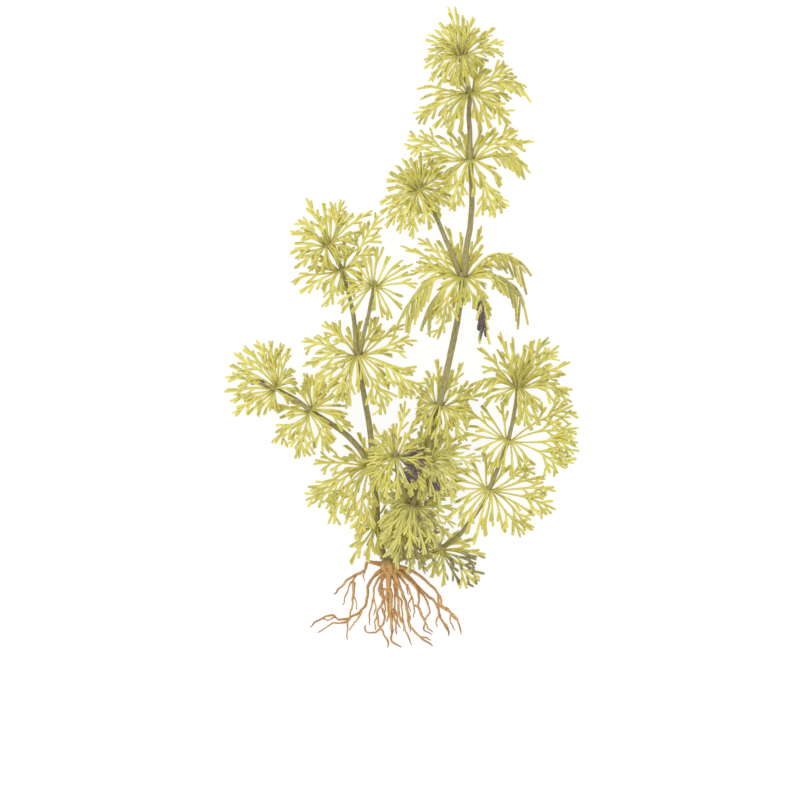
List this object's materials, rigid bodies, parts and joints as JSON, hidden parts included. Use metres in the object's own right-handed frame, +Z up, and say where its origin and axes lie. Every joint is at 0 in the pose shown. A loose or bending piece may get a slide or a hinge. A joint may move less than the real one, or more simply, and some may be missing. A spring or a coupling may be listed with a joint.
{
  "type": "bare-root ambulia plant",
  "caption": "Lifted ambulia water plant lying flat: branching stems with whorls of feathery leaves, leaf tufts at the tips and bare fibrous roots.",
  "frame": {"origin": "middle of the plant's box at the height of the surface it lies on", "axes": "+Z up from the surface, +Y along the plant from its roots to its top tuft, +X to the right of the plant as seen from above"},
  "size_m": [0.1599, 0.2902, 0.0364],
  "materials": {
    "stem": "smooth, slightly moist, grey olive",
    "leaf": "soft matte, yellow green",
    "young_leaf": "soft matte, olive yellow",
    "root": "matte, orange brown",
    "crown": "rough, brown"
  },
  "bodies": {
    "root": {"root_crown": "crown", "main_stem": "stem", "upper_stem": "stem", "upper_branch": "stem", "left_stem": "stem", "left_middle_stem": "stem", "left_top_stem": "stem", "left_side_branch": "stem", "far_left_branch": "stem", "right_stem": "stem", "middle_branch": "stem", "second_whorl": "leaf", "third_whorl": "leaf", "fork_whorl": "leaf", "left_second_whorl": "leaf", "left_middle_whorl": "leaf", "far_left_whorl": "leaf", "left_fork_whorl": "leaf", "left_foot_whorl": "leaf", "front_whorl": "leaf", "main_middle_whorl": "leaf", "main_low_whorl": "leaf", "main_base_whorl": "leaf", "main_foot_whorl": "leaf", "right_upper_whorl": "leaf", "right_lower_whorl": "leaf", "right_foot_whorl": "leaf", "top_tuft": "young_leaf", "branch_tuft": "young_leaf", "left_tip_tuft": "young_leaf", "side_tuft": "young_leaf", "far_left_tuft": "young_leaf", "right_tip_tuft": "young_leaf", "root_1": "root", "root_2": "root", "root_3": "root", "root_4": "root", "root_5": "root", "root_6": "root", "root_7": "root", "root_8": "root", "root_9": "root", "root_10": "root", "root_11": "root", "root_12": "root"}
  },
  "joints": []
}
